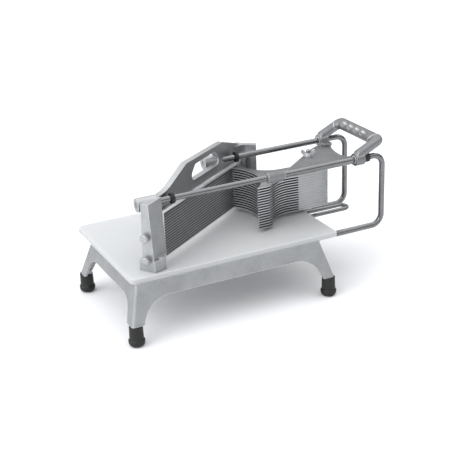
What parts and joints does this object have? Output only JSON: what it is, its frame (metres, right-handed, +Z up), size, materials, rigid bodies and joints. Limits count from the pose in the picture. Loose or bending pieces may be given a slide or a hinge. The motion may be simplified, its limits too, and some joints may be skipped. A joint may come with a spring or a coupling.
{
  "type": "tomato slicer",
  "caption": "Hand-pushed tomato slicer: a finned pusher slides on two bent rods and presses the tomato through angled blades over a white board on a cast base with rubber feet.",
  "frame": {"origin": "middle of the plan, on the counter under the feet", "axes": "+X along the rods towards the handle, +Y to the back, +Z up"},
  "size_m": [0.5334, 0.293, 0.2572],
  "materials": {
    "cast_aluminium": "tumbled sand casting",
    "board_plastic": "fine matte",
    "black_rubber": "moulded",
    "stainless_rod": "ground bar",
    "blade_steel": "ground",
    "cassette_steel": "satin",
    "fin_aluminium": "satin sheet",
    "bush_plastic": "turned",
    "fastener_steel": "plain",
    "bright_fastener": "bright"
  },
  "bodies": {
    "frame": {"base_frame": "cast_aluminium", "slide_board": "board_plastic", "foot_front_left": "black_rubber", "foot_front_right": "black_rubber", "foot_rear_left": "black_rubber", "foot_rear_right": "black_rubber", "board_screws": "fastener_steel", "guide_rod_front": "stainless_rod", "guide_rod_rear": "stainless_rod", "rod_nuts": "fastener_steel", "table_stop_clips": "cast_aluminium", "table_stop_screws": "fastener_steel", "head_casting": "cast_aluminium", "head_screws": "fastener_steel", "head_washer_front": "black_rubber", "head_washer_rear": "black_rubber", "stop_ring_front": "black_rubber", "cassette_top_bar": "cassette_steel", "cassette_end_front": "cassette_steel", "cassette_end_rear": "cassette_steel", "slicing_blades": "blade_steel", "blade_pins": "fastener_steel"},
    "pusher": {"pusher_fins": "fin_aluminium", "pusher_spacers": "fin_aluminium", "carriage_plate": "cast_aluminium", "pusher_handle": "cast_aluminium", "handle_screws": "fastener_steel", "sleeve_bushes": "bush_plastic", "stack_bolts": "fastener_steel", "stack_nuts": "fastener_steel"},
    "wing_nut": {"wing_nut": "bright_fastener"},
    "upper_thumbscrew": {"cassette_screw_upper": "bright_fastener"},
    "lower_thumbscrew": {"cassette_screw_lower": "bright_fastener"},
    "table_stop": {"table_stop": "stainless_rod"}
  },
  "joints": [
    {"name": "pusher_slide", "type": "slide", "parent": "frame", "child": "pusher", "axis": [-1, 0, 0], "range_m": [0, 0.1686]},
    {"name": "wing_nut_turn", "type": "hinge", "parent": "pusher", "child": "wing_nut", "pos_m": [0.15005, -0.00352, 0.219], "axis": [0, 0, 1], "continuous": true},
    {"name": "upper_thumbscrew_turn", "type": "hinge", "parent": "frame", "child": "upper_thumbscrew", "pos_m": [-0.21549, -0.10451, 0.173], "axis": [0.8192, 0.5736, 0], "continuous": true},
    {"name": "lower_thumbscrew_turn", "type": "hinge", "parent": "frame", "child": "lower_thumbscrew", "pos_m": [-0.21549, -0.10451, 0.133], "axis": [0.8192, 0.5736, 0], "continuous": true},
    {"name": "table_stop_swing", "type": "hinge", "parent": "frame", "child": "table_stop", "pos_m": [0.12405, 0.01348, 0.093], "axis": [0, 1, 0], "range_deg": [0, 90]}
  ]
}
